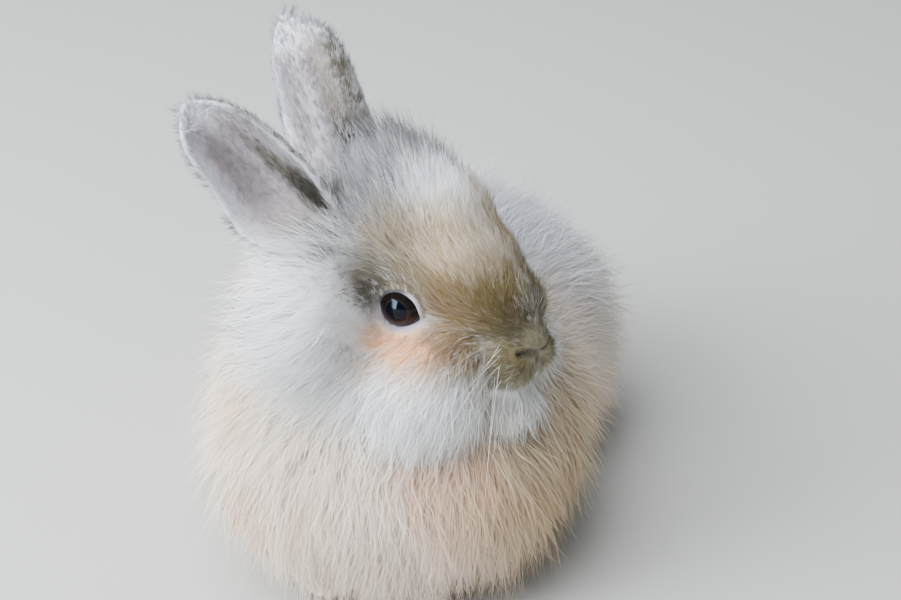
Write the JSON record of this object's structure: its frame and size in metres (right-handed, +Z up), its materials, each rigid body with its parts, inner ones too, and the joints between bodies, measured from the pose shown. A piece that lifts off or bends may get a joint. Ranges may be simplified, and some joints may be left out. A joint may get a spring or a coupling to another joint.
{
  "type": "domestic rabbit",
  "caption": "Long-coated young dwarf rabbit sitting low, head turned to its left, ears raised, with a furry ruff; a still model.",
  "frame": {"origin": "on the floor below the middle of the animal's box", "axes": "+Z up, the body faces -Y, +X to the animal's left; the head is turned towards +X"},
  "size_m": [0.1748, 0.2478, 0.1965],
  "materials": {
    "cream_coat": "long soft fur",
    "face_coat": "short to medium fur",
    "ear_fur": "short velvety fur",
    "eye": "polished"
  },
  "bodies": {
    "root": {"eye_left": "eye", "eye_right": "eye", "ear_left": "ear_fur", "ear_right": "ear_fur", "head": "face_coat", "neck": "cream_coat", "torso": "cream_coat", "tail": "cream_coat", "thigh_left": "cream_coat", "thigh_right": "cream_coat", "hindfoot_left": "cream_coat", "hindfoot_right": "cream_coat", "foreleg_left": "cream_coat", "foreleg_right": "cream_coat"}
  },
  "joints": []
}
